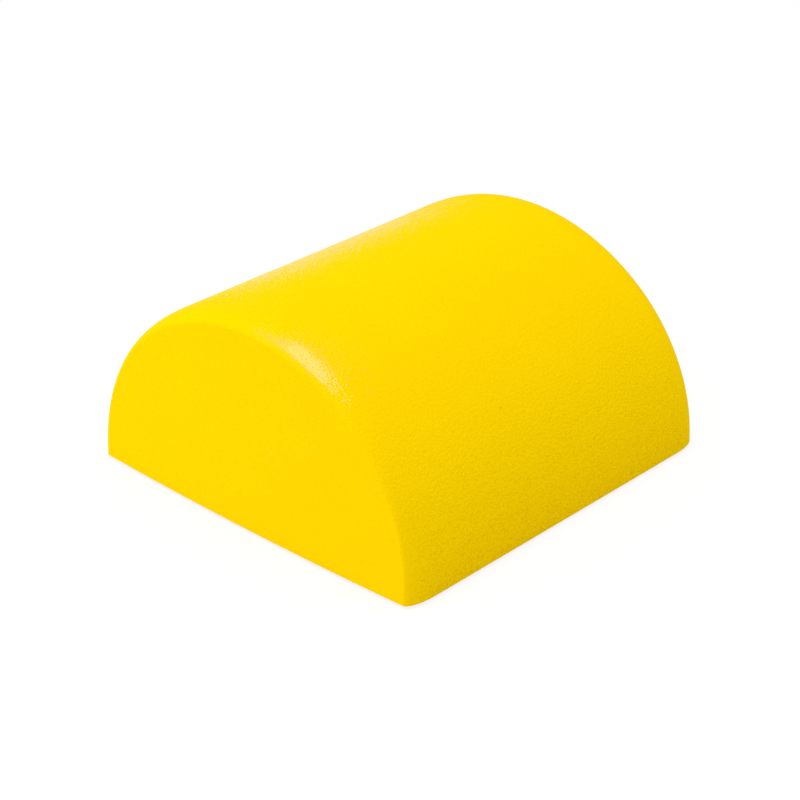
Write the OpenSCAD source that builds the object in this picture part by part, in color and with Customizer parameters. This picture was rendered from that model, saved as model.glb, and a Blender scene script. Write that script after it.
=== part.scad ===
// Short half-round parking wheel stop: a moulded shell cast full of reinforced concrete, with two
// blind dowel sleeves in its base and four rubber feet. All sizes are in millimetres.
// X runs along the barrel, Y across it and Z up. The origin is on the ground, at the middle of the base.

/* [Block] */
// Length along the barrel, measured at the rim
block_l = 300; // [280:5:400]
// Depth across the barrel, measured at the rim
block_w = 300; // [280:2:310]
// Height from the ground to the crown
block_h = 150; // [142:1:175]
// How much lower the arch is than a full half-round of the same depth
arch_drop = 9.5; // [6:0.5:20]
// How far the crown stands above the tops of the two shoulder circles
shoulder_drop = 5.5; // [4:0.5:20]
// Length over which the barrel eases down to the edge of an end face
edge_l = 21; // [14:1:30]
// How far the eased edge comes in at the base
base_edge = 7.5; // [4:0.5:12]
// How far the eased edge comes in at the crown
crown_edge = 9; // [6:0.5:14]
// How far an end face bulges between its two base corners
end_bow = 3.5; // [0.5:0.5:7]
// Lean of each end face, which lets the shell leave its mould
draft_angle = 3.2; // [0.5:0.1:5]

/* [Shell] */
// Wall thickness of the shell
shell_wall = 5; // [3:0.5:6.5]
// Thickness of the lip turned in under the block
lip_t = 5; // [3:0.5:8]
// Width of the lip, from the outer face of the block
lip_w = 25; // [20:1:32]
// Corner radius of the opening inside the lip
opening_r = 20; // [8:1:40]
// Gap that the concrete leaves around everything it touches as it shrinks
cast_gap = 0.3; // [0.2:0.05:0.45]

/* [Dowel sleeves] */
// Distance from the end of the block to the axis of a sleeve, at the rim
sleeve_inset = 75; // [68:1:90]
// Bore of a sleeve, which drops over a ground dowel
sleeve_bore = 22.3; // [16:0.1:28]
// Wall thickness of a sleeve
sleeve_wall = 2.3; // [1.6:0.1:4]
// Length of a sleeve
sleeve_l = 95; // [70:1:110]
// Diameter of the anchor collar on a sleeve
collar_d = 44; // [38:1:50]
// Thickness of the anchor collar
collar_t = 5; // [3:0.5:8]
// Height of the collar above the rim
collar_z = 45; // [25:1:50]
// Wall thickness of the cap on a sleeve
cap_wall = 2.5; // [1.5:0.1:4]
// How far the cap reaches down over the sleeve
cap_skirt = 14; // [8:1:18]
// Radial clearance of the cap on the sleeve
cap_fit = 0.15; // [0.1:0.05:0.3]

/* [Reinforcement] */
// Diameter of a bar along the block
bar_d = 8; // [6:1:10]
// Diameter of the rod that the bow of a stirrup is bent from
stirrup_d = 6; // [4:0.5:8]
// How much further the straight rod of a stirrup stands out than the bow welded into it
weld_step = 1; // [0.5:0.1:2]
// Length of the straight rod beyond the bow
run_overhang = 8; // [6:0.5:12]
// Concrete between the shell and a stirrup
side_cover = 18; // [14:1:24]
// Concrete under a stirrup
base_cover = 19; // [14:1:28]
// Thickness of the wire tie between a bar and a stirrup
tie_gap = 1; // [0.8:0.1:2]
// Distance of an upper bar from the crown, as an angle around the crown
upper_bar_angle = 30; // [22:1:36]
// Clear distance between a collar and the nearest stirrup
cage_clear = 4; // [2:0.5:8]
// Length of a bar beyond the outer stirrups
bar_overhang = 15; // [8:1:20]

/* [Feet] */
// Diameter of a foot
foot_d = 50; // [42:1:60]
// Thickness of a foot
foot_t = 8; // [7:0.5:12]
// How far a foot stands out below the rim
foot_proud = 2; // [1:0.5:4]
// Radius of the rounded lower edge of a foot
foot_edge_r = 1.5; // [0.5:0.1:2.5]
// Concrete left between a foot and the opening of the lip
foot_margin = 10; // [6:1:16]
// Diameter of a screw
screw_d = 5; // [4:0.5:6]
// Length of a screw under its head
screw_l = 40; // [30:1:50]
// Diameter of a screw head
head_d = 10; // [8:0.5:12]
// Height of a screw head
head_h = 3; // [2:0.1:3.5]
// Distance from a screw head up from the ground
head_clear = 0.6; // [0.4:0.1:1.5]
// Diameter of a washer
washer_d = 16; // [13:0.5:20]
// Thickness of a washer
washer_t = 1.2; // [0.8:0.1:2]
// Diameter of a plug in the concrete
plug_d = 8; // [7:0.5:10]
// Plug material beyond the tip of the screw
plug_end = 4; // [2:0.5:8]
// Clearance around a screw, a washer and a screw head
screw_fit = 0.15; // [0.1:0.05:0.3]

/* [Hidden] */

// Steps in degrees around the arch and over its eased edge
arch_step = 3;
turn_step = 10;
$fn = 64;
// Overlap of a cutting shape past the face it cuts
cut = 1;

// Arch: a crown arc between two tighter shoulder arcs, standing on an upright band
half_l = block_l / 2;
half_w = block_w / 2;
rim_z = foot_proud;
rise = half_w - arch_drop;
spring_z = block_h - rise;
shoulder_r = rise - shoulder_drop;
shoulder_y = half_w - shoulder_r;
crown_r = half_w + arch_drop * arch_drop / (2 * shoulder_drop);
crown_z = block_h - crown_r;
join_angle = atan2(crown_r - rise, shoulder_y);

// Sleeves and cage, placed from the ends of the block inwards
sleeve_x = half_l - sleeve_inset;
sleeve_od = sleeve_bore + 2 * sleeve_wall;
sleeve_top = rim_z + sleeve_l;
cap_id = sleeve_od + 2 * cap_fit;
cap_od = cap_id + 2 * cap_wall;
run_d = stirrup_d + 2 * weld_step;
stirrup_x = sleeve_x + collar_d / 2 + cage_clear + run_d / 2;
bar_l = 2 * (stirrup_x + bar_overhang);

// Stirrup: a round bow with the same cover at the crown and at the sides, welded into a straight run
bow_r = half_w - shell_wall - cast_gap - side_cover - stirrup_d / 2;
bow_z = block_h - half_w;
run_z = rim_z + base_cover + run_d / 2;
bow_angle = asin((run_z - bow_z) / bow_r);
run_l = 2 * (bow_r * cos(bow_angle) + run_overhang);
bar_reach = bow_r - stirrup_d / 2 - tie_gap - bar_d / 2;
lower_bar_z = run_z + run_d / 2 + tie_gap + bar_d / 2;
lower_bar_y = sqrt(pow(bar_reach, 2) - pow(lower_bar_z - bow_z, 2));
upper_bar_y = bar_reach * sin(upper_bar_angle);
upper_bar_z = bow_z + bar_reach * cos(upper_bar_angle);

// Feet: head, washer, foot and plug stand on one another from the ground up
foot_x = half_l - lip_w - foot_margin - foot_d / 2;
foot_y = half_w - lip_w - foot_margin - foot_d / 2;
washer_z = head_clear + head_h;
seat_z = washer_z + washer_t;
hole_d = screw_d + 2 * screw_fit;
tip_z = washer_z + screw_l;
plug_top = tip_z + plug_end;

shell_colour = [0.98, 0.82, 0.05];
concrete_colour = [0.62, 0.61, 0.58];
steel_colour = [0.42, 0.36, 0.32];
zinc_colour = [0.72, 0.74, 0.76];
rubber_colour = [0.10, 0.10, 0.11];
nylon_colour = [0.55, 0.56, 0.58];
cap_colour = [0.20, 0.34, 0.62];

// Shapes shared by several pieces

// Turns a drawing in the XY plane into the upright YZ plane
module upright() rotate([90, 0, 90]) children();

// Part of a ring in the upright plane, from one angle to another around its centre
module ring_arc(at_z, ring_r, rod_r, from, to)
    upright() translate([0, at_z, 0]) rotate([0, 0, from])
        rotate_extrude(angle = to - from) translate([ring_r, 0]) circle(r = rod_r);

// Point of the arch that faces a given angle, set in by a distance
function arch_point(angle, inset) =
    let (
        side = angle < join_angle ? 1 : angle > 180 - join_angle ? -1 : 0,
        centre = side == 0 ? [0, crown_z] : [side * shoulder_y, spring_z],
        r = side == 0 ? crown_r : shoulder_r
    )
    centre + (r - inset) * [cos(angle), sin(angle)];

// How far an end of the block draws in, at a place across it and at a height
function end_draw(y, z) = (z - rim_z) * tan(draft_angle) + end_bow * pow(y / half_w, 2);

// Point on the eased edge at one end of the block (-1 or 1). The angle runs around the arch. The turn is
// where the skin faces, from the barrel at 0 to the end at 90, along a quarter of an ellipse.
function edge_point(end, angle, turn, inset) =
    let (
        reach = base_edge + (crown_edge - base_edge) * pow(sin(angle), 2),
        sweep = atan2(edge_l * sin(turn), reach * cos(turn)),
        ease = 1 - cos(sweep),
        arch = arch_point(angle, inset),
        y = arch[0] * (1 - base_edge * ease / half_w),
        z = rim_z + (arch[1] - rim_z) * (1 - crown_edge * ease / (block_h - rim_z)),
        x = half_l - inset / cos(draft_angle) - edge_l * (1 - sin(sweep)) - end_draw(y, z)
    )
    [end * x, y, z];

// The same point carried straight down the leaning end to a level
function base_point(end, angle, turn, inset, level) =
    let (top = edge_point(end, angle, turn, inset))
    [top[0] + end * (top[2] - level) * tan(draft_angle), top[1], level];

// Solid block above a level, set in by the same amount on the barrel and on both ends
module block_form(inset, from_z) {
    ends = [-1, 1];
    arch = [0:arch_step:180];
    turns = [0:turn_step:90];
    points = [
        for (end = ends, angle = arch, turn = turns) edge_point(end, angle, turn, inset),
        for (end = ends, angle = arch) base_point(end, angle, 90, inset, rim_z - cut),
        for (end = ends, angle = [0, 180], turn = turns) base_point(end, angle, turn, inset, rim_z - cut)
    ];
    intersection() {
        hull() polyhedron(points, [[for (i = [0:len(points) - 1]) i]]);
        translate([-half_l - cut, -half_w - cut, from_z])
            cube([block_l + 2 * cut, block_w + 2 * cut, block_h]);
    }
}

// Opening inside the lip, from the rim up
module lip_opening(inset, height)
    translate([0, 0, rim_z]) linear_extrude(height) {
        l = block_l - 2 * (lip_w + inset);
        w = block_w - 2 * (lip_w + inset);
        r = opening_r - inset;
        square([l, w - 2 * r], center = true);
        square([l - 2 * r, w], center = true);
        for (x = [-1, 1], y = [-1, 1])
            translate([x * (l / 2 - r), y * (w / 2 - r)]) circle(r);
    }

module at_feet()
    for (x = [-1, 1], y = [-1, 1])
        translate([x * foot_x, y * foot_y, 0]) children();

// Bar along the block, grown by the gap around it where it is cut out of the concrete
module bar(y, z, gap = 0)
    translate([0, y, z]) rotate([0, 90, 0])
        cylinder(d = bar_d + 2 * gap, h = bar_l + 2 * gap, center = true);

// Closed stirrup in an upright plane
module stirrup(x, gap = 0)
    translate([x, 0, 0]) {
        translate([0, 0, run_z]) rotate([90, 0, 0])
            cylinder(d = run_d + 2 * gap, h = run_l + 2 * gap, center = true);
        ring_arc(bow_z, bow_r, stirrup_d / 2 + gap, bow_angle, 180 - bow_angle);
    }

// Outside of a sleeve with its collar and cap, grown by the gap in the concrete
module sleeve_space(x, gap)
    translate([x, 0, rim_z]) {
        translate([0, 0, -cut]) cylinder(d = sleeve_od + 2 * gap, h = sleeve_l + cut);
        translate([0, 0, collar_z - gap]) cylinder(d = collar_d + 2 * gap, h = collar_t + 2 * gap);
        translate([0, 0, sleeve_l - cap_skirt - gap])
            cylinder(d = cap_od + 2 * gap, h = cap_skirt + cap_wall + 2 * gap);
    }

// Pieces

module outer_shell()
    color(shell_colour) difference() {
        block_form(0, rim_z);
        block_form(shell_wall, rim_z + lip_t);
        translate([0, 0, -cut]) lip_opening(0, lip_t + 2 * cut);
    }

module concrete_core()
    color(concrete_colour) difference() {
        union() {
            block_form(shell_wall + cast_gap, rim_z + lip_t + cast_gap);
            lip_opening(cast_gap, lip_t + 2 * cast_gap);
        }
        for (side = [-1, 1]) {
            bar(side * lower_bar_y, lower_bar_z, cast_gap);
            bar(side * upper_bar_y, upper_bar_z, cast_gap);
            sleeve_space(side * sleeve_x, cast_gap);
            stirrup(side * stirrup_x, cast_gap);
        }
        stirrup(0, cast_gap);
        at_feet() {
            translate([0, 0, rim_z - cut])
                cylinder(d = foot_d + 2 * cast_gap, h = foot_t + cast_gap - rim_z + cut);
            cylinder(d = plug_d + 2 * cast_gap, h = plug_top + cast_gap);
        }
    }

module bar_lower_front() color(steel_colour) bar(-lower_bar_y, lower_bar_z);
module bar_lower_rear() color(steel_colour) bar(lower_bar_y, lower_bar_z);
module bar_upper_front() color(steel_colour) bar(-upper_bar_y, upper_bar_z);
module bar_upper_rear() color(steel_colour) bar(upper_bar_y, upper_bar_z);

module stirrup_left() color(steel_colour) stirrup(-stirrup_x);
module stirrup_middle() color(steel_colour) stirrup(0);
module stirrup_right() color(steel_colour) stirrup(stirrup_x);

module dowel_sleeve(x)
    color(zinc_colour) translate([x, 0, rim_z]) difference() {
        union() {
            cylinder(d = sleeve_od, h = sleeve_l);
            translate([0, 0, collar_z]) cylinder(d = collar_d, h = collar_t);
        }
        translate([0, 0, -cut]) cylinder(d = sleeve_bore, h = sleeve_l + 2 * cut);
    }

module dowel_sleeve_left() dowel_sleeve(-sleeve_x);
module dowel_sleeve_right() dowel_sleeve(sleeve_x);

module sleeve_cap(x)
    color(cap_colour) translate([x, 0, sleeve_top - cap_skirt]) difference() {
        cylinder(d = cap_od, h = cap_skirt + cap_wall);
        translate([0, 0, -cut]) cylinder(d = cap_id, h = cap_skirt + cut);
    }

module sleeve_cap_left() sleeve_cap(-sleeve_x);
module sleeve_cap_right() sleeve_cap(sleeve_x);

// Rubber foot, turned: rounded at the ground, recessed for the screw head and its washer
module foot(x, y)
    color(rubber_colour) translate([x * foot_x, y * foot_y, 0]) difference() {
        rotate_extrude() {
            square([foot_d / 2 - foot_edge_r, foot_t]);
            translate([0, foot_edge_r]) square([foot_d / 2, foot_t - foot_edge_r]);
            translate([foot_d / 2 - foot_edge_r, foot_edge_r]) circle(foot_edge_r);
        }
        translate([0, 0, -cut]) cylinder(d = hole_d, h = foot_t + 2 * cut);
        translate([0, 0, -cut]) cylinder(d = washer_d + 2 * screw_fit, h = seat_z + screw_fit + cut);
    }

module foot_front_left() foot(-1, -1);
module foot_front_right() foot(1, -1);
module foot_rear_left() foot(-1, 1);
module foot_rear_right() foot(1, 1);

module foot_washers()
    color(zinc_colour) at_feet() translate([0, 0, washer_z]) difference() {
        cylinder(d = washer_d, h = washer_t);
        translate([0, 0, -cut]) cylinder(d = hole_d, h = washer_t + 2 * cut);
    }

module foot_screws()
    color(zinc_colour) at_feet() {
        translate([0, 0, head_clear]) cylinder(d = head_d, h = head_h - screw_fit);
        translate([0, 0, head_clear]) cylinder(d = screw_d, h = tip_z - head_clear);
    }

module foot_plugs()
    color(nylon_colour) at_feet() translate([0, 0, foot_t + cast_gap]) difference() {
        cylinder(d = plug_d, h = plug_top - foot_t - cast_gap);
        translate([0, 0, -cut]) cylinder(d = hole_d, h = tip_z - foot_t - cast_gap + screw_fit + cut);
    }

outer_shell();
concrete_core();
bar_lower_front();
bar_lower_rear();
bar_upper_front();
bar_upper_rear();
stirrup_left();
stirrup_middle();
stirrup_right();
dowel_sleeve_left();
dowel_sleeve_right();
sleeve_cap_left();
sleeve_cap_right();
foot_front_left();
foot_front_right();
foot_rear_left();
foot_rear_right();
foot_washers();
foot_screws();
foot_plugs();
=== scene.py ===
import math
import bpy
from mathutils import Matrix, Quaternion, Vector


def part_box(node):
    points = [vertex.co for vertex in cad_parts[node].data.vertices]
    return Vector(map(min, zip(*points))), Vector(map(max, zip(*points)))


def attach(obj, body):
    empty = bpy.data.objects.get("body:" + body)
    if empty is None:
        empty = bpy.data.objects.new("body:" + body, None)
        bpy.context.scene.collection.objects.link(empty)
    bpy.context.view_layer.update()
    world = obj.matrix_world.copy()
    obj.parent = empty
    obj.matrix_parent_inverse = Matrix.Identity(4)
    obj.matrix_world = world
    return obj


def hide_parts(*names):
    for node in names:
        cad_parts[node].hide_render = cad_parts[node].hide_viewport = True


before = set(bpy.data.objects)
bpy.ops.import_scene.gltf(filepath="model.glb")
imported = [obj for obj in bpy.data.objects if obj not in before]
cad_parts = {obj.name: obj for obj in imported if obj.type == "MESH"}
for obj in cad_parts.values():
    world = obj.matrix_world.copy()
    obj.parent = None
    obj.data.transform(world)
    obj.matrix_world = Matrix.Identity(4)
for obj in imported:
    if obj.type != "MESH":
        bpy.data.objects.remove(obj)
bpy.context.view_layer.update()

# Sizes in metres. The boxes come from the CAD parts in model.glb, and most of the rest follows the part's
# named values.
# The ease of the rim, the grooves and the screw's rounding, cross recess and thread are set here.
shell_low, shell_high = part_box("outer_shell")
HALF_LENGTH = shell_high.x
HALF_WIDTH = shell_high.y
RIM = shell_low.z
HEIGHT = shell_high.z - RIM
ARCH_DROP = 0.0095
SHOULDER_DROP = 0.0055
EDGE_LENGTH = 0.021
BASE_EDGE = 0.0075
CROWN_EDGE = 0.009
END_BOW = 0.0035
END_LEAN = math.tan(math.radians(3.2))
WALL = 0.005
LIP_THICKNESS = 0.005
LIP = 0.025
OPENING_CORNER = 0.020
RIM_EASE = 0.0004

foot_low, foot_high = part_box("foot_front_right")
FOOT_X = (foot_low.x + foot_high.x) / 2
FOOT_Y = (foot_low.y + foot_high.y) / 2
FOOT_RADIUS = (foot_high.x - foot_low.x) / 2
FOOT_HEIGHT = foot_high.z
FOOT_EDGE = 0.0015
RECESS_RADIUS = 0.00815
RECESS_DEPTH = 0.00495
SCREW_HOLE = 0.00265
GROOVES = 2
GROOVE_DEPTH = 0.0011
# Shares of a groove's width that its floor and each of its walls take up
GROOVE_FLOOR = 0.7
GROOVE_WALL = 0.15

screw_low, screw_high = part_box("foot_screws")
HEAD_RADIUS = screw_high.x - FOOT_X
HEAD_HEIGHT = 0.00285
HEAD_ROUNDING = HEAD_HEIGHT * 0.55
# The driver's blade that cuts the cross recess, and how far it narrows towards its tip
BLADE_SIZE = (HEAD_RADIUS * 1.15, HEAD_RADIUS * 0.24, 0.0044)
BLADE_DROP = 0.0002
BLADE_TIP = (0.45, 0.6, 1)
SHANK_RADIUS = 0.0025
THREAD_PITCH = 0.0018
THREAD_DEPTH = 0.0006
THREAD_HOLLOW = 1.5
# Turns of thread left out at the upper end, where the shank runs to a point
POINT_TURNS = 2

# How near counts as touching, how straight up or down counts as flat, and room to find a hole's edge
TOUCH = 1e-6
FLAT = 0.9
HOLE_ROOM = 1.02

# Fineness and shading of the meshes
SHOULDER_STEPS = 24
CROWN_STEPS = 44
EDGE_STEPS = 12
BARREL_CUTS = 9
RIM_STEPS = 3
CORNER_STEPS = 10
FOOT_SIDES = 64
FOOT_EDGE_STEPS = 5
HEAD_SIDES = 48
HEAD_ROUNDING_STEPS = 6
THREAD_CUTS = 3
THREAD_STEPS = 20
SHELL_SHARP = math.radians(35)
FOOT_SHARP = math.radians(30)
SCREW_SHARP = math.radians(40)
LARGE_FACES_LEAD = 100

# Painted sheen on the front of one arched edge: a coat gloss placed to carry a highlight, over painted
# shade that darkens the colour.
# A pair runs from where it is nought to where it is full: lengths in from the end or across the block in
# metres, and heights as shares of the block's height.
SHEEN_BORDER = (0.0005, 0.0035)
SHEEN_INNER = (0.048, 0.021)
SHEEN_FRONT = (0, -0.010)
SHEEN_LOW = (0.77, 0.89)
SHEEN_HIGH = (0.99, 0.955)
SHEEN_FAINT = 0.22
SHEEN_STRONG = 0.70
STRONG_REACH = 0.006
STRONG_REACH_GAIN = 0.008
STRONG_REACH_HEIGHTS = (0.82, 0.94)
STRONG_FADE = 0.005

# Painted sheen in a band behind the crown, placed to carry a pale reflection along the crest, over
# painted shade: between two slopes to the rear and away from the ends and the base
BAND_STRENGTH = 0.48
BAND_UPPER = (0.08, 0.30)
BAND_LOWER = (0.66, 0.50)
BAND_ENDS = (0.01, 0.08)
BAND_LEAST_HEIGHT = 0.4

# Depth of the mould's grain, as shares of the finish's own depth: on the ends, and what the long sides
# add. The pairs are slopes, from where the sides add nothing to where they add all of it.
GRAIN_ENDS = 0.28
GRAIN_SIDES = 0.10
GRAIN_LOW_SIDES = 2.10
GRAIN_END_FACING = (0.7, 0)
GRAIN_DOWN_FACING = (-0.9, -0.5)

# The camera, found by fitting the block's outline to the photograph
VIEW_AZIMUTH = math.radians(-45.966)
VIEW_ELEVATION = math.radians(27.723)
VIEW_ROLL = math.radians(-0.777)
VIEW_DISTANCE = 1.502704
VIEW_LENS = 97.13
VIEW_SENSOR = 36
VIEW_CLIP = (0.05, 50)
VIEW_CENTRE = Vector((-0.002929, -0.003844, 0.042))

# The studio
FLOOR_SIZE = 12
FLOOR_WHITE = 1.05
FLOOR_WHITE_SHARE = 0.78

# Places of the Mix node's sockets in its lists
MIX_SHARE = 0
MIX_VALUES = (2, 3)
MIX_COLOURS = (6, 7)
MIXED_VALUE = 0
MIXED_COLOUR = 2


# Handling of pieces

def clear_bench():
    """Leaves nothing selected, so that the next operator acts on the new piece alone."""
    if bpy.context.object and bpy.context.object.mode != "OBJECT":
        bpy.ops.object.mode_set(mode="OBJECT")
    bpy.ops.object.select_all(action="DESELECT")


def choose(piece, kind, test):
    """Selects in edit mode the points, edges or faces of a piece that pass a test."""
    bpy.ops.object.mode_set(mode="EDIT")
    bpy.ops.mesh.select_mode(type=kind)
    bpy.ops.mesh.select_all(action="DESELECT")
    bpy.ops.object.mode_set(mode="OBJECT")
    mesh = piece.data
    if kind == "VERT":
        for point in mesh.vertices:
            point.select = test(point.co)
    elif kind == "EDGE":
        for edge in mesh.edges:
            a, b = (mesh.vertices[i].co for i in edge.vertices)
            edge.select = test(a, b)
    else:
        for face in mesh.polygons:
            face.select = test(face.center, face.normal)
    bpy.ops.object.mode_set(mode="EDIT")


def weld():
    """Merges doubled points and turns every face outwards."""
    bpy.ops.mesh.select_all(action="SELECT")
    bpy.ops.mesh.remove_doubles(threshold=TOUCH)
    bpy.ops.mesh.normals_make_consistent(inside=False)


def apply(piece, modifier):
    """Applies one modifier to a piece."""
    if piece.mode != "OBJECT":
        bpy.ops.object.mode_set(mode="OBJECT")
    bpy.context.view_layer.objects.active = piece
    bpy.ops.object.modifier_apply(modifier=modifier.name)


def cut_away(piece, cutter):
    """Takes the form of a cutter out of a piece and throws the cutter away."""
    cut = piece.modifiers.new("cut", "BOOLEAN")
    cut.operation = "DIFFERENCE"
    cut.solver = "EXACT"
    cut.object = cutter
    apply(piece, cut)
    bpy.data.objects.remove(cutter)


def settle(piece, name, material, slot, *nodes):
    """Names a finished piece, gives it its material and puts it in the place of its CAD nodes."""
    if bpy.context.object.mode != "OBJECT":
        bpy.ops.object.mode_set(mode="OBJECT")
    bpy.ops.object.select_all(action="DESELECT")
    piece.select_set(True)
    bpy.context.view_layer.objects.active = piece
    bpy.ops.object.transform_apply(location=True, rotation=True, scale=True)
    piece.name = name
    piece.data.name = name
    piece.data.materials.clear()
    piece.data.materials.append(material)
    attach(piece, "root")
    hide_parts(*nodes)
    piece.select_set(False)


def ramp(value, start, end):
    """Nought at a start, one at an end, and even in between."""
    return min(1, max(0, (value - start) / (end - start)))


# The block's moulded shell

def drawn_in(place):
    """How far an end is drawn in at a place, by its lean and its bow."""
    return END_LEAN * place.z + END_BOW * (place.y / HALF_WIDTH) ** 2


def arched_barrel(inset, floor):
    """The barrel up to its eased edges: a base line spun over both shoulders and the crown."""
    straight = HALF_LENGTH - inset - EDGE_LENGTH
    rise = HALF_WIDTH - ARCH_DROP
    spring = HEIGHT - rise
    shoulder_y = HALF_WIDTH - rise + SHOULDER_DROP
    crown = HALF_WIDTH + ARCH_DROP ** 2 / (2 * SHOULDER_DROP)
    join = math.atan2(crown - rise, shoulder_y)
    over = math.pi - 2 * join
    along = (1, 0, 0)
    clear_bench()
    bpy.ops.mesh.primitive_plane_add(size=2 * straight)
    block = bpy.context.object
    choose(block, "VERT", lambda p: p.y > 0)
    bpy.ops.mesh.delete(type="VERT")
    bpy.ops.mesh.select_all(action="SELECT")
    bpy.ops.transform.translate(value=(0, straight - HALF_WIDTH + inset, floor))
    bpy.ops.mesh.extrude_edges_move(TRANSFORM_OT_translate={"value": (0, 0, spring - floor)})
    bpy.ops.mesh.spin(steps=SHOULDER_STEPS, angle=join, center=(0, -shoulder_y, spring), axis=along)
    bpy.ops.mesh.spin(steps=CROWN_STEPS, angle=over, center=(0, 0, HEIGHT - crown), axis=along)
    bpy.ops.mesh.spin(steps=SHOULDER_STEPS, angle=join, center=(0, shoulder_y, spring), axis=along)
    bpy.ops.mesh.extrude_edges_move(TRANSFORM_OT_translate={"value": (0, 0, floor - spring)})
    weld()
    return block, straight


def ease_end(block, straight, side, floor):
    """Draws one end of the barrel out and in, along a quarter of an ellipse, and closes it."""
    choose(block, "VERT", lambda p: abs(p.x - side * straight) < TOUCH)
    edge_depth = (BASE_EDGE + CROWN_EDGE) / 2
    sweep = 0
    for step in range(1, EDGE_STEPS + 1):
        turn = step / EDGE_STEPS * math.pi / 2
        onward = math.atan2(EDGE_LENGTH * math.sin(turn), edge_depth * math.cos(turn))
        reach = EDGE_LENGTH * (math.sin(onward) - math.sin(sweep))
        before, after = 1 - math.cos(sweep), 1 - math.cos(onward)
        narrower = (HALF_WIDTH - BASE_EDGE * after) / (HALF_WIDTH - BASE_EDGE * before)
        lower = (HEIGHT - CROWN_EDGE * after) / (HEIGHT - CROWN_EDGE * before)
        bpy.ops.mesh.extrude_edges_move(TRANSFORM_OT_translate={"value": (side * reach, 0, 0)})
        bpy.ops.transform.resize(value=(1, narrower, lower), center_override=(0, 0, floor))
        sweep = onward
    bpy.ops.mesh.extrude_edges_move(TRANSFORM_OT_translate={"value": (0, 0, 0)})
    bpy.ops.transform.resize(value=(1, 1, 0), center_override=(0, 0, floor))


def rounded_block(inset, floor):
    """The closed form of the block above a level, set in by a wall: its ends bulge and lean in."""
    block, straight = arched_barrel(inset, floor)
    for side in (-1, 1):
        ease_end(block, straight, side, floor)
    weld()
    choose(block, "VERT", lambda p: abs(p.z - floor) < TOUCH)
    bpy.ops.mesh.edge_face_add()
    bpy.ops.object.mode_set(mode="OBJECT")
    for point in block.data.vertices:
        point.co.x -= math.copysign(drawn_in(point.co), point.co.x)
    choose(block, "EDGE", lambda a, b: abs(a.x - b.x) > HALF_LENGTH)
    bpy.ops.mesh.subdivide(number_cuts=BARREL_CUTS)
    weld()
    bpy.ops.object.mode_set(mode="OBJECT")
    return block


def opening_cutter():
    """The block of air that opens the underside, with rounded corners."""
    clear_bench()
    bpy.ops.mesh.primitive_cube_add(size=1)
    cutter = bpy.context.object
    cutter.scale = (2 * (HALF_LENGTH - LIP), 2 * (HALF_WIDTH - LIP), 4 * WALL)
    bpy.ops.object.transform_apply(scale=True)
    choose(cutter, "EDGE", lambda a, b: abs(a.z - b.z) > WALL)
    bpy.ops.mesh.bevel(offset=OPENING_CORNER, segments=CORNER_STEPS, affect="EDGES")
    bpy.ops.object.mode_set(mode="OBJECT")
    return cutter


def mark_placed_sheen(shell):
    """Marks where a painted sheen goes, with painted shade under it: a highlight at the front of one
    arched edge, and a pale reflection behind the crown.
    """
    placed_sheen = shell.data.attributes.new("placed_sheen", "FLOAT", "POINT")
    for point in shell.data.vertices:
        place, up, rear = point.co, point.co.z / HEIGHT, point.normal.y
        inward = HALF_LENGTH - drawn_in(place) - abs(place.x)
        reach = STRONG_REACH + STRONG_REACH_GAIN * ramp(up, *STRONG_REACH_HEIGHTS)
        strong = SHEEN_STRONG * ramp(inward, reach + STRONG_FADE, reach - STRONG_FADE)
        edge = ramp(inward, *SHEEN_BORDER) * (SHEEN_FAINT + strong)
        edge *= ramp(inward, *SHEEN_INNER) * ramp(place.y, *SHEEN_FRONT)
        edge *= ramp(up, *SHEEN_LOW) * ramp(up, *SHEEN_HIGH)
        band = BAND_STRENGTH * ramp(rear, *BAND_UPPER) * ramp(rear, *BAND_LOWER)
        band *= ramp(inward, *BAND_ENDS)
        on_edge = edge if place.x < 0 else 0
        on_band = band if up > BAND_LEAST_HEIGHT else 0
        placed_sheen.data[point.index].value = max(on_edge, on_band)


def mark_grain_depth(shell):
    """Marks how deep the mould's grain is: shallow on ends and crown, deeper down the long sides."""
    grain = shell.data.attributes.new("grain_depth", "FLOAT", "POINT")
    for point in shell.data.vertices:
        side = ramp(abs(point.normal.x), *GRAIN_END_FACING) * ramp(point.normal.z, *GRAIN_DOWN_FACING)
        low = ramp(point.co.z, HEIGHT, 0) ** 2
        grain.data[point.index].value = GRAIN_ENDS + side * (GRAIN_SIDES + GRAIN_LOW_SIDES * low)


def moulded_shell(material):
    """The yellow shell: rounded block, even wall, and a turned-in lip round the opening below."""
    shell = rounded_block(0, 0)
    choose(shell, "EDGE", lambda a, b: max(a.z, b.z) < TOUCH)
    bpy.ops.mesh.bevel(offset=RIM_EASE, segments=RIM_STEPS, affect="EDGES", clamp_overlap=False)
    weld()
    bpy.ops.object.mode_set(mode="OBJECT")
    cut_away(shell, rounded_block(WALL, LIP_THICKNESS))
    cut_away(shell, opening_cutter())
    clear_bench()
    shell.select_set(True)
    bpy.context.view_layer.objects.active = shell
    bpy.ops.object.shade_smooth_by_angle(angle=SHELL_SHARP)
    even = shell.modifiers.new("even_shading", "WEIGHTED_NORMAL")
    even.keep_sharp = True
    even.weight = LARGE_FACES_LEAD
    apply(shell, even)
    # Where the painted sheen and the painted shade under it go
    mark_placed_sheen(shell)
    mark_grain_depth(shell)
    shell.location.z = RIM
    settle(shell, "moulded_shell", material, "shell_plastic", "outer_shell")


# Feet and their screws

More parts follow.
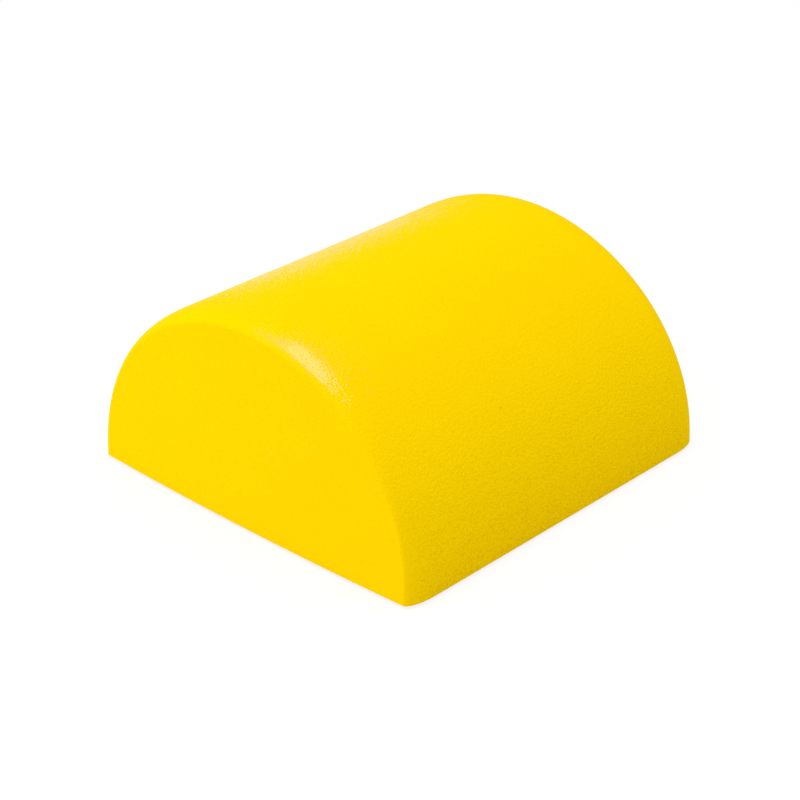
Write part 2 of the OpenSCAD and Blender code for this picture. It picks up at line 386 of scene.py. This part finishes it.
def rubber_foot(side_x, side_y, name, node, material):
    """A rubber foot: rounded at the ground, with two grip grooves and a recess for the screw head."""
    clear_bench()
    bpy.ops.mesh.primitive_cylinder_add(
        vertices=FOOT_SIDES, radius=FOOT_RADIUS, depth=FOOT_HEIGHT, location=(0, 0, FOOT_HEIGHT / 2))
    foot = bpy.context.object
    bpy.ops.object.transform_apply(location=True)
    choose(foot, "EDGE", lambda a, b: max(a.z, b.z) < TOUCH)
    bpy.ops.mesh.bevel(offset=FOOT_EDGE, segments=FOOT_EDGE_STEPS, affect="EDGES")
    choose(foot, "FACE", lambda c, n: c.z < TOUCH and n.z < -FLAT)
    land = (FOOT_RADIUS - FOOT_EDGE - RECESS_RADIUS) / (2 * GROOVES + 1)
    for groove in range(GROOVES):
        bpy.ops.mesh.inset(thickness=land)
        bpy.ops.mesh.inset(thickness=land * GROOVE_WALL)
        bpy.ops.transform.translate(value=(0, 0, GROOVE_DEPTH))
        bpy.ops.mesh.inset(thickness=land * GROOVE_FLOOR)
        bpy.ops.mesh.inset(thickness=land * GROOVE_WALL)
        bpy.ops.transform.translate(value=(0, 0, -GROOVE_DEPTH))
    bpy.ops.mesh.inset(thickness=land)
    bpy.ops.mesh.extrude_region_move(TRANSFORM_OT_translate={"value": (0, 0, RECESS_DEPTH)})
    bpy.ops.mesh.inset(thickness=RECESS_RADIUS - SCREW_HOLE)
    bpy.ops.mesh.delete(type="ONLY_FACE")
    choose(foot, "FACE", lambda c, n: c.z > FOOT_HEIGHT - TOUCH)
    bpy.ops.mesh.inset(thickness=FOOT_RADIUS - SCREW_HOLE)
    bpy.ops.mesh.delete(type="ONLY_FACE")
    hole_edge = SCREW_HOLE * HOLE_ROOM
    choose(foot, "EDGE", lambda a, b: max(math.hypot(a.x, a.y), math.hypot(b.x, b.y)) < hole_edge)
    bpy.ops.mesh.bridge_edge_loops()
    weld()
    bpy.ops.object.mode_set(mode="OBJECT")
    bpy.ops.object.shade_smooth_by_angle(angle=FOOT_SHARP)
    foot.location = (side_x * FOOT_X, side_y * FOOT_Y, 0)
    settle(foot, name, material, "foot_rubber", node)


def cross_blade(turn):
    """One blade of the driver, narrowing towards its tip, that cuts half of the cross recess."""
    clear_bench()
    bpy.ops.mesh.primitive_cube_add(size=1)
    blade = bpy.context.object
    blade.scale = BLADE_SIZE
    blade.location.z = screw_low.z - BLADE_DROP
    bpy.ops.object.transform_apply(location=True, scale=True)
    choose(blade, "FACE", lambda c, n: n.z > FLAT)
    bpy.ops.transform.resize(value=BLADE_TIP)
    bpy.ops.object.mode_set(mode="OBJECT")
    blade.rotation_euler.z = turn
    bpy.ops.object.transform_apply(rotation=True)
    return blade


def pan_head():
    """The head of a foot screw: a rounded pan with a cross recess, seen from below."""
    clear_bench()
    middle = screw_low.z + HEAD_HEIGHT / 2
    bpy.ops.mesh.primitive_cylinder_add(
        vertices=HEAD_SIDES, radius=HEAD_RADIUS, depth=HEAD_HEIGHT, location=(0, 0, middle))
    head = bpy.context.object
    bpy.ops.object.transform_apply(location=True)
    choose(head, "EDGE", lambda a, b: max(a.z, b.z) < screw_low.z + TOUCH)
    bpy.ops.mesh.bevel(offset=HEAD_ROUNDING, segments=HEAD_ROUNDING_STEPS, affect="EDGES")
    bpy.ops.object.mode_set(mode="OBJECT")
    for turn in (0, math.pi / 2):
        cut_away(head, cross_blade(turn))
    return head


def close_shank(shank):
    """Caps the shank's lower end and draws its upper end in to a point, where the CAD screw ends."""
    choose(shank, "VERT", lambda p: True)
    weld()
    bpy.ops.mesh.fill_holes(sides=0)
    choose(shank, "FACE", lambda c, n: c.z > screw_high.z / 2 and math.hypot(c.x, c.y) < SHANK_RADIUS / 2)
    bpy.ops.mesh.extrude_region_move(TRANSFORM_OT_translate={"value": (0, 0, 0)})
    bpy.ops.transform.resize(value=(0, 0, 0), center_override=(0, 0, screw_high.z))
    weld()
    bpy.ops.object.mode_set(mode="OBJECT")


def threaded_shank():
    """The screw's shank: one thread profile wound upwards and closed at both ends."""
    clear_bench()
    bpy.ops.mesh.primitive_plane_add(size=THREAD_PITCH)
    shank = bpy.context.object
    bpy.ops.object.transform_apply(location=True, rotation=True, scale=True)
    choose(shank, "VERT", lambda p: p.x > 0)
    bpy.ops.mesh.delete(type="VERT")
    bpy.ops.mesh.select_all(action="SELECT")
    bpy.ops.transform.rotate(value=math.pi / 2, orient_axis="X", center_override=(0, 0, 0))
    bpy.ops.mesh.subdivide(number_cuts=THREAD_CUTS)
    bpy.ops.object.mode_set(mode="OBJECT")
    low = min(p.co.z for p in shank.data.vertices)
    for point in shank.data.vertices:
        share = (point.co.z - low) / THREAD_PITCH
        crest = 1 - abs(2 * share - 1)
        point.co.x = SHANK_RADIUS - THREAD_DEPTH * (1 - crest) ** THREAD_HOLLOW
        point.co.y = 0
    wind = shank.modifiers.new("thread", "SCREW")
    wind.axis = "Z"
    wind.screw_offset = THREAD_PITCH
    wind.iterations = int((screw_high.z - screw_low.z - HEAD_HEIGHT) / THREAD_PITCH) - POINT_TURNS
    wind.steps = THREAD_STEPS
    wind.render_steps = THREAD_STEPS
    wind.use_merge_vertices = True
    wind.merge_threshold = TOUCH
    apply(shank, wind)
    shank.location.z = screw_low.z + HEAD_HEIGHT - low - THREAD_PITCH / 2
    bpy.ops.object.transform_apply(location=True)
    close_shank(shank)
    return shank


def foot_screws(material):
    """Four pan-head screws, one modelled and three copies."""
    screw = pan_head()
    shank = threaded_shank()
    shank.select_set(True)
    screw.select_set(True)
    bpy.context.view_layer.objects.active = screw
    bpy.ops.object.join()
    bpy.ops.object.shade_smooth_by_angle(angle=SCREW_SHARP)
    screw.location = (FOOT_X, FOOT_Y, 0)
    bpy.ops.object.transform_apply(location=True)
    copies = [screw]
    for side_x, side_y in ((-1, 1), (-1, -1), (1, -1)):
        clear_bench()
        screw.select_set(True)
        bpy.context.view_layer.objects.active = screw
        bpy.ops.object.duplicate(linked=False)
        copy = bpy.context.object
        copy.location = ((side_x - 1) * FOOT_X, (side_y - 1) * FOOT_Y, 0)
        copies.append(copy)
    for copy in copies:
        copy.select_set(True)
    bpy.context.view_layer.objects.active = screw
    bpy.ops.object.join()
    settle(screw, "pan_head_screws", material, "zinc_steel", "foot_screws")


# Surface effects that several finishes share

def effect(name, inputs, outputs):
    """An empty shader group with named sockets, and its two end nodes."""
    group = bpy.data.node_groups.new(name, "ShaderNodeTree")
    for label, kind in inputs:
        group.interface.new_socket(label, in_out="INPUT", socket_type=kind)
    for label, kind in outputs:
        group.interface.new_socket(label, in_out="OUTPUT", socket_type=kind)
    entry = group.nodes.new("NodeGroupInput")
    leave = group.nodes.new("NodeGroupOutput")
    return group, entry, leave


def orange_peel():
    """The close dimpled grain of a mould: broad soft dimples under a finer grit."""
    group, entry, leave = effect(
        "orange_peel",
        [("Vector", "NodeSocketVector"), ("Scale", "NodeSocketFloat"), ("Grit", "NodeSocketFloat")],
        [("Height", "NodeSocketFloat"), ("Tone", "NodeSocketFloat")])
    nodes, links = group.nodes, group.links
    dimple = nodes.new("ShaderNodeTexNoise")
    dimple.inputs["Detail"].default_value = 1.0
    dimple.inputs["Roughness"].default_value = 0.5
    finer = nodes.new("ShaderNodeMath")
    finer.operation = "MULTIPLY"
    finer.inputs[1].default_value = 1.6
    grit = nodes.new("ShaderNodeTexNoise")
    grit.inputs["Detail"].default_value = 2.0
    grit.inputs["Roughness"].default_value = 0.6
    mix = nodes.new("ShaderNodeMix")
    mix.data_type = "FLOAT"
    links.new(entry.outputs["Vector"], dimple.inputs["Vector"])
    links.new(entry.outputs["Scale"], dimple.inputs["Scale"])
    links.new(entry.outputs["Scale"], finer.inputs[0])
    links.new(entry.outputs["Vector"], grit.inputs["Vector"])
    links.new(finer.outputs[0], grit.inputs["Scale"])
    links.new(entry.outputs["Grit"], mix.inputs[MIX_SHARE])
    links.new(dimple.outputs[0], mix.inputs[MIX_VALUES[0]])
    links.new(grit.outputs[0], mix.inputs[MIX_VALUES[1]])
    links.new(mix.outputs[MIXED_VALUE], leave.inputs["Height"])
    links.new(grit.outputs[0], leave.inputs["Tone"])
    return group


def cloudy_tone():
    """A slow drift between two colours, as pigment, cement or dust gives."""
    group, entry, leave = effect(
        "cloudy_tone",
        [("Vector", "NodeSocketVector"), ("Scale", "NodeSocketFloat"),
         ("Light", "NodeSocketColor"), ("Dark", "NodeSocketColor")],
        [("Colour", "NodeSocketColor"), ("Drift", "NodeSocketFloat")])
    nodes, links = group.nodes, group.links
    cloud = nodes.new("ShaderNodeTexNoise")
    cloud.inputs["Detail"].default_value = 4.0
    cloud.inputs["Roughness"].default_value = 0.55
    spread = nodes.new("ShaderNodeMapRange")
    spread.inputs["From Min"].default_value = 0.3
    spread.inputs["From Max"].default_value = 0.7
    mix = nodes.new("ShaderNodeMix")
    mix.data_type = "RGBA"
    links.new(entry.outputs["Vector"], cloud.inputs["Vector"])
    links.new(entry.outputs["Scale"], cloud.inputs["Scale"])
    links.new(cloud.outputs[0], spread.inputs["Value"])
    links.new(spread.outputs[0], mix.inputs[MIX_SHARE])
    links.new(entry.outputs["Dark"], mix.inputs[MIX_COLOURS[0]])
    links.new(entry.outputs["Light"], mix.inputs[MIX_COLOURS[1]])
    links.new(mix.outputs[MIXED_COLOUR], leave.inputs["Colour"])
    links.new(spread.outputs[0], leave.inputs["Drift"])
    return group


def stray_specks():
    """Small round spots, one in some of the cells of a pattern: grit, pores or pigment grains."""
    group, entry, leave = effect(
        "stray_specks",
        [("Vector", "NodeSocketVector"), ("Scale", "NodeSocketFloat"),
         ("Rarity", "NodeSocketFloat"), ("Radius", "NodeSocketFloat")],
        [("Mask", "NodeSocketFloat")])
    nodes, links = group.nodes, group.links
    cells = nodes.new("ShaderNodeTexVoronoi")
    cells.feature = "F1"
    pick = nodes.new("ShaderNodeSeparateColor")
    rare = nodes.new("ShaderNodeMath")
    rare.operation = "GREATER_THAN"
    size = nodes.new("ShaderNodeMath")
    size.operation = "MULTIPLY"
    near = nodes.new("ShaderNodeMapRange")
    near.inputs["To Min"].default_value = 1.0
    near.inputs["To Max"].default_value = 0.0
    both = nodes.new("ShaderNodeMath")
    both.operation = "MULTIPLY"
    links.new(entry.outputs["Vector"], cells.inputs["Vector"])
    links.new(entry.outputs["Scale"], cells.inputs["Scale"])
    links.new(cells.outputs["Color"], pick.inputs[0])
    links.new(pick.outputs[0], rare.inputs[0])
    links.new(entry.outputs["Rarity"], rare.inputs[1])
    links.new(pick.outputs[1], size.inputs[0])
    links.new(entry.outputs["Radius"], size.inputs[1])
    links.new(cells.outputs["Distance"], near.inputs["Value"])
    links.new(size.outputs[0], near.inputs["From Max"])
    links.new(near.outputs[0], both.inputs[0])
    links.new(rare.outputs[0], both.inputs[1])
    links.new(both.outputs[0], leave.inputs["Mask"])
    return group


ORANGE_PEEL = orange_peel()
CLOUDY_TONE = cloudy_tone()
STRAY_SPECKS = stray_specks()


# Finishes

class Finish:
    """A material with its shader at hand and short ways to add nodes to it."""

    def __init__(self, name):
        self.material = bpy.data.materials.new(name)
        self.material.use_nodes = True
        self.nodes = self.material.node_tree.nodes
        self.links = self.material.node_tree.links
        self.shader = self.nodes["Principled BSDF"]
        self.place = self.nodes.new("ShaderNodeTexCoord").outputs["Object"]

    def add(self, group, **values):
        """Places a shared effect, with its own values."""
        node = self.nodes.new("ShaderNodeGroup")
        node.node_tree = group
        self.links.new(self.place, node.inputs["Vector"])
        for label, value in values.items():
            node.inputs[label].default_value = value
        return node

    def feed(self, value, socket):
        """Links a socket to another, or sets it to a plain value."""
        if isinstance(value, bpy.types.NodeSocket):
            self.links.new(value, socket)
        else:
            socket.default_value = value

    def mix(self, share, first, second):
        """Mixes two colours, or a socket and a colour, by a mask."""
        node = self.nodes.new("ShaderNodeMix")
        node.data_type = "RGBA"
        self.feed(share, node.inputs[MIX_SHARE])
        self.feed(first, node.inputs[MIX_COLOURS[0]])
        self.feed(second, node.inputs[MIX_COLOURS[1]])
        return node.outputs[MIXED_COLOUR]

    def span(self, value, low=0.0, high=1.0, start=0.0, end=1.0):
        """Stretches a mask, or the part of it between a start and an end, over a range of values."""
        node = self.nodes.new("ShaderNodeMapRange")
        self.links.new(value, node.inputs["Value"])
        node.inputs["From Min"].default_value = start
        node.inputs["From Max"].default_value = end
        node.inputs["To Min"].default_value = low
        node.inputs["To Max"].default_value = high
        return node.outputs[0]

    def marked(self, label):
        """A value that the piece's own points carry."""
        node = self.nodes.new("ShaderNodeAttribute")
        node.attribute_name = label
        return node.outputs["Fac"]

    def reckon(self, kind, first, second):
        """Works out one value from two."""
        node = self.nodes.new("ShaderNodeMath")
        node.operation = kind
        self.feed(first, node.inputs[0])
        self.feed(second, node.inputs[1])
        return node.outputs[0]

    def times(self, first, second):
        """The first value times the second."""
        return self.reckon("MULTIPLY", first, second)

    def less(self, first, second):
        """The first value less the second."""
        return self.reckon("SUBTRACT", first, second)

    def greater(self, first, second):
        """The greater of two values."""
        return self.reckon("MAXIMUM", first, second)

    def relief(self, height, depth, strength=1.0):
        """A bump whose full height is a real depth in metres."""
        node = self.nodes.new("ShaderNodeBump")
        node.inputs["Strength"].default_value = strength
        node.inputs["Distance"].default_value = depth
        self.links.new(height, node.inputs["Height"])
        self.links.new(node.outputs["Normal"], self.shader.inputs["Normal"])

    def set(self, **values):
        """Feeds the shader's own sockets, named with underscores for spaces."""
        for label, value in values.items():
            self.feed(value, self.shader.inputs[label.replace("_", " ")])


def yellow_polyethylene():
    """Rotation-moulded plastic, dyed through: vivid yellow, finely dimpled, dull but for a painted sheen
    with painted shade under it.
    """
    pale, deep = (0.985, 0.668, 0.0006, 1), (0.965, 0.645, 0.0005, 1)
    dimple_shade = (0.925, 0.612, 0.0005, 1)
    pale_speck = (0.98, 0.80, 0.30, 1)
    dark_grit = (0.30, 0.17, 0.010, 1)
    # Painted shade: a darker colour laid under the painted sheen, so that the highlight on it stays pale
    # beige
    painted_shade_under_sheen = (0.80, 0.568, 0.0005, 1)
    finish = Finish("yellow_polyethylene")
    tone = finish.add(CLOUDY_TONE, Scale=14.0, Light=pale, Dark=deep)
    grain = finish.add(ORANGE_PEEL, Scale=520.0, Grit=0.30)
    grit = finish.add(STRAY_SPECKS, Scale=60.0, Rarity=0.965, Radius=0.07)
    # Pale specks scattered at random over the skin
    pale_specks = finish.add(STRAY_SPECKS, Scale=75.0, Rarity=0.985, Radius=0.08)
    glints = finish.add(STRAY_SPECKS, Scale=330.0, Rarity=0.84, Radius=0.55)
    dimples = finish.span(grain.outputs["Tone"], start=0.36, end=0.66)
    dimpled = finish.mix(dimples, tone.outputs["Colour"], dimple_shade)
    specked = finish.mix(pale_specks.outputs["Mask"], dimpled, pale_speck)
    gritty = finish.mix(grit.outputs["Mask"], specked, dark_grit)
    # Painted sheen: where it is strong the tops of the grain take a coat gloss, and where it is faint
    # scattered glint specks do, with the colour painted darker under them
    hollows = finish.span(grain.outputs["Tone"], start=0.34, end=0.66)
    tops = finish.span(finish.less(finish.marked("placed_sheen"), hollows), end=0.15)
    sheen_spread = finish.span(finish.marked("placed_sheen"), end=0.2)
    shiny = finish.times(sheen_spread, finish.span(glints.outputs["Mask"], end=0.6))
    sheen_mask = finish.greater(tops, shiny)
    finish.set(Base_Color=finish.mix(sheen_mask, gritty, painted_shade_under_sheen), Coat_Weight=sheen_mask,
               Roughness=finish.span(grain.outputs["Height"], 0.32, 0.46),
               Specular_IOR_Level=0.001, Coat_Roughness=0.2, Coat_IOR=1.6)
    level = finish.span(grain.outputs["Height"], -0.5, 0.5)
    finish.relief(finish.times(finish.marked("grain_depth"), level), depth=0.0011)
    return finish.material


def cast_concrete():
    """Trowelled concrete: drifting greys, sand grains and small air pores."""
    pale, deep = (0.42, 0.41, 0.38, 1), (0.29, 0.28, 0.265, 1)
    dark_stone = (0.22, 0.215, 0.21, 1)
    pale_sand = (0.52, 0.50, 0.46, 1)
    pore_shade = (0.10, 0.095, 0.09, 1)
    finish = Finish("cast_concrete")
    tone = finish.add(CLOUDY_TONE, Scale=26.0, Light=pale, Dark=deep)
    sand = finish.add(ORANGE_PEEL, Scale=420.0, Grit=0.6)
    pores = finish.add(STRAY_SPECKS, Scale=150.0, Rarity=0.72, Radius=0.38)
    stones = finish.add(STRAY_SPECKS, Scale=90.0, Rarity=0.80, Radius=0.55)
    stony = finish.mix(finish.span(stones.outputs["Mask"], 0.0, 0.5), tone.outputs["Colour"], dark_stone)
    sandy = finish.mix(finish.span(sand.outputs["Tone"], 0.0, 0.5), stony, pale_sand)
    finish.set(Base_Color=finish.mix(pores.outputs["Mask"], sandy, pore_shade),
               Roughness=finish.span(tone.outputs["Drift"], 0.78, 0.95))
    surface = finish.less(sand.outputs["Height"], pores.outputs["Mask"])
    finish.relief(surface, depth=0.0009, strength=0.7)
    return finish.material


def ground_rubber():
    """Black rubber, dulled by talc and dust."""
    pale, deep = (0.040, 0.040, 0.042, 1), (0.018, 0.018, 0.019, 1)
    dust_grey = (0.13, 0.125, 0.115, 1)
    finish = Finish("ground_rubber")
    tone = finish.add(CLOUDY_TONE, Scale=70.0, Light=pale, Dark=deep)
    grain = finish.add(ORANGE_PEEL, Scale=900.0, Grit=0.5)
    dust = finish.add(STRAY_SPECKS, Scale=420.0, Rarity=0.9, Radius=0.4)
    finish.set(Base_Color=finish.mix(dust.outputs["Mask"], tone.outputs["Colour"], dust_grey),
               Roughness=finish.span(tone.outputs["Drift"], 0.62, 0.82))
    finish.relief(grain.outputs["Height"], depth=0.0003, strength=0.5)
    return finish.material


def spangled_zinc():
    """Galvanised steel: pale metal in crystal patches, some brighter and some duller."""
    pale, deep = (0.66, 0.67, 0.68, 1), (0.46, 0.47, 0.48, 1)
    bright_zinc = (0.74, 0.75, 0.77, 1)
    finish = Finish("spangled_zinc")
    tone = finish.add(CLOUDY_TONE, Scale=160.0, Light=pale, Dark=deep)
    spangle = finish.nodes.new("ShaderNodeTexVoronoi")
    spangle.inputs["Scale"].default_value = 260.0
    finish.links.new(finish.place, spangle.inputs["Vector"])
    patch = finish.nodes.new("ShaderNodeSeparateColor")
    finish.links.new(spangle.outputs["Color"], patch.inputs[0])
    grain = finish.add(ORANGE_PEEL, Scale=1100.0, Grit=0.5)
    brighter = finish.span(patch.outputs[0], 0.0, 0.5)
    finish.set(Base_Color=finish.mix(brighter, tone.outputs["Colour"], bright_zinc), Metallic=1.0,
               Roughness=finish.span(patch.outputs[1], 0.30, 0.50))
    finish.relief(grain.outputs["Height"], depth=0.0001, strength=0.5)
    return finish.material


def mill_scale_steel():
    """Hot-rolled bar: dark scale with thin rust in patches."""
    pale, deep = (0.155, 0.130, 0.115, 1), (0.075, 0.070, 0.070, 1)
    rust_brown = (0.21, 0.085, 0.035, 1)
    finish = Finish("mill_scale_steel")
    tone = finish.add(CLOUDY_TONE, Scale=90.0, Light=pale, Dark=deep)
    rust = finish.add(CLOUDY_TONE, Scale=210.0, Light=(1, 1, 1, 1), Dark=(0, 0, 0, 1))
    grain = finish.add(ORANGE_PEEL, Scale=800.0, Grit=0.6)
    rusty = finish.span(rust.outputs["Drift"], -0.4, 0.8)
    finish.set(Base_Color=finish.mix(rusty, tone.outputs["Colour"], rust_brown),
               Roughness=finish.span(rust.outputs["Drift"], 0.48, 0.82),
               Metallic=finish.span(rust.outputs["Drift"], 0.8, 0.1))
    finish.relief(grain.outputs["Height"], depth=0.0003, strength=0.6)
    return finish.material


def moulded_plastic(name, light, dark, rough):
    """A small injection-moulded part: one pigment, slightly uneven, with a fine grain."""
    finish = Finish(name)
    tone = finish.add(CLOUDY_TONE, Scale=120.0, Light=light, Dark=dark)
    grain = finish.add(ORANGE_PEEL, Scale=1300.0, Grit=0.4)
    finish.set(Base_Color=tone.outputs["Colour"],
               Roughness=finish.span(tone.outputs["Drift"], rough, rough + 0.12))
    finish.relief(grain.outputs["Height"], depth=0.00015, strength=0.4)
    return finish.material


def seen_rays(nodes, links):
    """One for rays that show a thing to the eye, straight, mirrored or through glass, or else nought."""
    path = nodes.new("ShaderNodeLightPath")
    result = path.outputs["Is Camera Ray"]
    for label in ("Is Glossy Ray", "Is Transmission Ray"):
        either = nodes.new("ShaderNodeMath")
        either.operation = "MAXIMUM"
        links.new(result, either.inputs[0])
        links.new(path.outputs[label], either.inputs[1])
        result = either.outputs[0]
    return result


def studio_floor():
    """A pale floor that looks white and keeps a soft shadow."""
    finish = Finish("studio_floor")
    tone = finish.add(CLOUDY_TONE, Scale=3.0, Light=(0.86, 0.86, 0.86, 1), Dark=(0.85, 0.85, 0.85, 1))
    finish.set(Base_Color=tone.outputs["Colour"], Roughness=1.0, Specular_IOR_Level=0.0)
    white = finish.nodes.new("ShaderNodeEmission")
    white.inputs["Strength"].default_value = FLOOR_WHITE
    share = finish.times(seen_rays(finish.nodes, finish.links), FLOOR_WHITE_SHARE)
    lifted = finish.nodes.new("ShaderNodeMixShader")
    finish.links.new(share, lifted.inputs[0])
    finish.links.new(finish.shader.outputs[0], lifted.inputs[1])
    finish.links.new(white.outputs[0], lifted.inputs[2])
    finish.links.new(lifted.outputs[0], finish.nodes["Material Output"].inputs["Surface"])
    return finish.material


yellow = yellow_polyethylene()
concrete = cast_concrete()
rubber = ground_rubber()
zinc = spangled_zinc()
bar_steel = mill_scale_steel()
cap_blue = moulded_plastic(
    "cap_polyethylene", light=(0.036, 0.100, 0.345, 1), dark=(0.028, 0.080, 0.290, 1), rough=0.42)
plug_grey = moulded_plastic(
    "plug_polyamide", light=(0.270, 0.280, 0.300, 1), dark=(0.235, 0.245, 0.265, 1), rough=0.40)

# The pieces that take the place of CAD nodes
moulded_shell(yellow)
for side_x, word_x in ((-1, "left"), (1, "right")):
    for side_y, word_y in ((-1, "front"), (1, "rear")):
        corner = word_y + "_" + word_x
        rubber_foot(side_x, side_y, "grip_foot_" + corner, "foot_" + corner, rubber)
foot_screws(zinc)

# Better materials for the CAD nodes that stay
KEPT = {
    "concrete_core": concrete,
    "dowel_sleeve_left": zinc,
    "dowel_sleeve_right": zinc,
    "foot_washers": zinc,
    "sleeve_cap_left": cap_blue,
    "sleeve_cap_right": cap_blue,
    "foot_plugs": plug_grey,
}
for bar in ("bar_lower_front", "bar_lower_rear", "bar_upper_front", "bar_upper_rear",
            "stirrup_left", "stirrup_middle", "stirrup_right"):
    KEPT[bar] = bar_steel
for node, material in KEPT.items():
    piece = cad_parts[node]
    piece.data.materials.clear()
    piece.data.materials.append(material)


# Floor, light and camera

def floor():
    """The ground that the block stands on."""
    clear_bench()
    bpy.ops.mesh.primitive_plane_add(size=FLOOR_SIZE)
    ground = bpy.context.object
    ground.name = "floor"
    ground.data.materials.append(studio_floor())


def softbox(name, place, aim, size, power):
    """A soft lamp at a place, facing a point."""
    lamp = bpy.data.lights.new(name, "AREA")
    lamp.shape = "RECTANGLE"
    lamp.size, lamp.size_y = size
    lamp.energy = power
    holder = bpy.data.objects.new(name, lamp)
    holder.location = place
    holder.rotation_euler = (Vector(aim) - Vector(place)).to_track_quat("-Z", "Y").to_euler()
    bpy.context.scene.collection.objects.link(holder)


def surroundings(light, seen):
    """White all round to the eye and in reflections, and an even light on everything."""
    world = bpy.data.worlds.new("studio")
    bpy.context.scene.world = world
    world.use_nodes = True
    nodes, links = world.node_tree.nodes, world.node_tree.links
    background = nodes["Background"]
    background.inputs["Color"].default_value = (1, 1, 1, 1)
    level = nodes.new("ShaderNodeMapRange")
    level.inputs["To Min"].default_value = light
    level.inputs["To Max"].default_value = seen
    links.new(seen_rays(nodes, links), level.inputs["Value"])
    links.new(level.outputs[0], background.inputs["Strength"])


def camera():
    """The photograph's view, with its slight roll."""
    lens = bpy.data.cameras.new("camera")
    lens.lens = VIEW_LENS
    lens.sensor_width = VIEW_SENSOR
    lens.clip_start, lens.clip_end = VIEW_CLIP
    holder = bpy.data.objects.new("camera", lens)
    back = Vector((math.sin(VIEW_AZIMUTH) * math.cos(VIEW_ELEVATION),
                   -math.cos(VIEW_AZIMUTH) * math.cos(VIEW_ELEVATION),
                   math.sin(VIEW_ELEVATION)))
    holder.location = VIEW_CENTRE + back * VIEW_DISTANCE
    level = (-back).to_track_quat("-Z", "Y")
    holder.rotation_euler = (level @ Quaternion((0, 0, 1), VIEW_ROLL)).to_euler()
    bpy.context.scene.collection.objects.link(holder)
    bpy.context.scene.camera = holder


floor()
surroundings(light=0.705, seen=1.0)
softbox("left_softbox", place=(-1.35, 1.00, 0.55), aim=(0, 0, 0.07), size=(1.0, 1.0), power=8.6)
softbox(
    "overhead_softbox", place=(-0.20, -0.20, 2.0), aim=(-0.20, -0.20, 0.0), size=(1.50, 1.7), power=17.6)
camera()
bpy.context.scene.view_settings.view_transform = "Standard"
